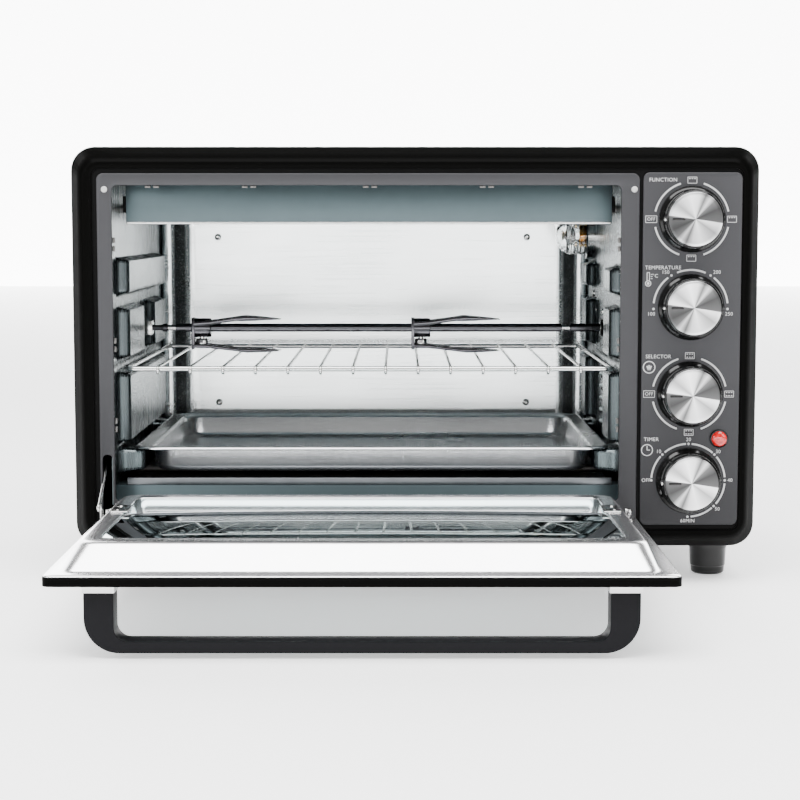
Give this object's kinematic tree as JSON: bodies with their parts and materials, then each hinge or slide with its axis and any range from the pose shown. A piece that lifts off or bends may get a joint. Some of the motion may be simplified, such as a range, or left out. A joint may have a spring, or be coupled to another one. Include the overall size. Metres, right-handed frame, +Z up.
{
  "type": "rotisserie oven",
  "caption": "Counter-top electric oven with a drop-down glass door and U handle, motor-driven spit with sliding forks, wire rack, baking tray and turned control knobs.",
  "frame": {"origin": "on the worktop, below the middle of the whole oven with its door open", "axes": "+Z up, +X to the user's right along the spit, -Y towards the user"},
  "size_m": [0.52, 0.603, 0.3325],
  "materials": {
    "black_enamel": "satin black",
    "grey_enamel": "satin grey",
    "galvanised": "bright aluminised",
    "door_steel": "satin stainless",
    "door_black": "satin black",
    "handle_grey": "satin dark grey",
    "glass": "clear",
    "plated": "plated",
    "fork_steel": "dark plated",
    "tray_steel": "satin",
    "heater": "dull",
    "ceramic": "matt",
    "brass": "bright",
    "bulb_glass": "clear",
    "motor": "zinc plated",
    "switch_body": "moulded",
    "black_plastic": "gloss black",
    "red_lens": "translucent red",
    "rubber": "matt",
    "bumper": "matt"
  },
  "bodies": {
    "root": {"front_frame": "black_enamel", "front_bulkhead": "black_enamel", "door_seat": "grey_enamel", "control_panel": "grey_enamel", "door_bumpers": "bumper", "outer_casing": "black_enamel", "rear_panel": "galvanised", "base_plate": "galvanised", "cord_gland": "rubber", "feet": "rubber", "foot_screws": "plated", "cavity_left_wall": "galvanised", "cavity_right_wall": "galvanised", "cavity_top_panel": "galvanised", "cavity_floor": "galvanised", "cavity_back_panel": "galvanised", "top_deflector": "galvanised", "upper_heaters": "heater", "lower_heaters": "heater", "heater_insulators": "ceramic", "light_glass": "glass", "light_ring": "plated", "light_socket": "brass", "light_bulb": "bulb_glass", "spit_bracket": "plated", "gear_motor": "motor", "fan_duct": "galvanised", "fan_motor": "motor", "function_switch": "switch_body", "thermostat": "switch_body", "selector_switch": "switch_body", "timer": "switch_body", "indicator_holder": "black_plastic", "indicator_lens": "red_lens", "hinge_pins": "plated", "hinge_brackets": "galvanised", "door_spring": "plated"},
    "door": {"door_frame": "door_black", "door_pan": "door_steel", "door_glass": "glass", "glass_clips": "plated", "door_ears": "door_steel", "handle": "handle_grey", "handle_collars": "plated", "handle_screws": "plated"},
    "door_link": {"door_link": "plated"},
    "spit": {"spit_rod": "fork_steel", "drive_socket": "plated"},
    "left_fork": {"left_fork": "fork_steel"},
    "right_fork": {"right_fork": "fork_steel"},
    "left_thumbscrew": {"left_thumbscrew": "plated"},
    "right_thumbscrew": {"right_thumbscrew": "plated"},
    "wire_rack": {"wire_rack": "plated"},
    "baking_tray": {"baking_tray": "tray_steel"},
    "crumb_tray": {"crumb_tray": "tray_steel"},
    "convection_fan": {"convection_fan": "tray_steel"},
    "function_knob": {"function_knob": "black_plastic"},
    "temperature_knob": {"temperature_knob": "black_plastic"},
    "selector_knob": {"selector_knob": "black_plastic"},
    "timer_knob": {"timer_knob": "black_plastic"}
  },
  "joints": [
    {"name": "door_hinge", "type": "hinge", "parent": "root", "child": "door", "pos_m": [-0.0354, -0.04625, 0.0563], "axis": [-1, 0, 0], "range_deg": [0, 90]},
    {"name": "door_link_pivot", "type": "hinge", "parent": "door", "child": "door_link", "pos_m": [-0.2358, -0.0795, 0.064], "axis": [1, 0, 0], "range_deg": [0, 81.3]},
    {"name": "spit_spin", "type": "hinge", "parent": "root", "child": "spit", "pos_m": [0, 0.1035, 0.188], "axis": [1, 0, 0], "continuous": true},
    {"name": "left_fork_slide", "type": "slide", "parent": "spit", "child": "left_fork", "axis": [1, 0, 0], "range_m": [-0.018, 0.06]},
    {"name": "right_fork_slide", "type": "slide", "parent": "spit", "child": "right_fork", "axis": [1, 0, 0], "range_m": [-0.06, 0.07]},
    {"name": "left_thumbscrew_turn", "type": "hinge", "parent": "left_fork", "child": "left_thumbscrew", "pos_m": [-0.177, 0.1035, 0.175], "axis": [0, 0, 1], "range_deg": [0, 360]},
    {"name": "right_thumbscrew_turn", "type": "hinge", "parent": "right_fork", "child": "right_thumbscrew", "pos_m": [0.006, 0.1035, 0.175], "axis": [0, 0, 1], "range_deg": [0, 360]},
    {"name": "rack_slide", "type": "slide", "parent": "root", "child": "wire_rack", "axis": [0, 1, 0], "range_m": [-0.25, 0]},
    {"name": "baking_tray_slide", "type": "slide", "parent": "root", "child": "baking_tray", "axis": [0, 1, 0], "range_m": [-0.25, 0]},
    {"name": "crumb_tray_slide", "type": "slide", "parent": "root", "child": "crumb_tray", "axis": [0, 1, 0], "range_m": [-0.25, 0]},
    {"name": "fan_spin", "type": "hinge", "parent": "root", "child": "convection_fan", "pos_m": [0.17, 0.1035, 0.132], "axis": [1, 0, 0], "continuous": true},
    {"name": "function_knob_turn", "type": "hinge", "parent": "root", "child": "function_knob", "pos_m": [0.208, -0.0465, 0.278], "axis": [0, 1, 0], "range_deg": [0, 270]},
    {"name": "temperature_knob_turn", "type": "hinge", "parent": "root", "child": "temperature_knob", "pos_m": [0.208, -0.0465, 0.212], "axis": [0, 1, 0], "range_deg": [0, 270]},
    {"name": "selector_knob_turn", "type": "hinge", "parent": "root", "child": "selector_knob", "pos_m": [0.208, -0.0465, 0.146], "axis": [0, 1, 0], "range_deg": [0, 270]},
    {"name": "timer_knob_turn", "type": "hinge", "parent": "root", "child": "timer_knob", "pos_m": [0.208, -0.0465, 0.08], "axis": [0, 1, 0], "range_deg": [0, 330]}
  ],
  "couplings": [
    {"joint": "door_link_pivot", "follows": "door_hinge", "ratio": 0.9033}
  ]
}
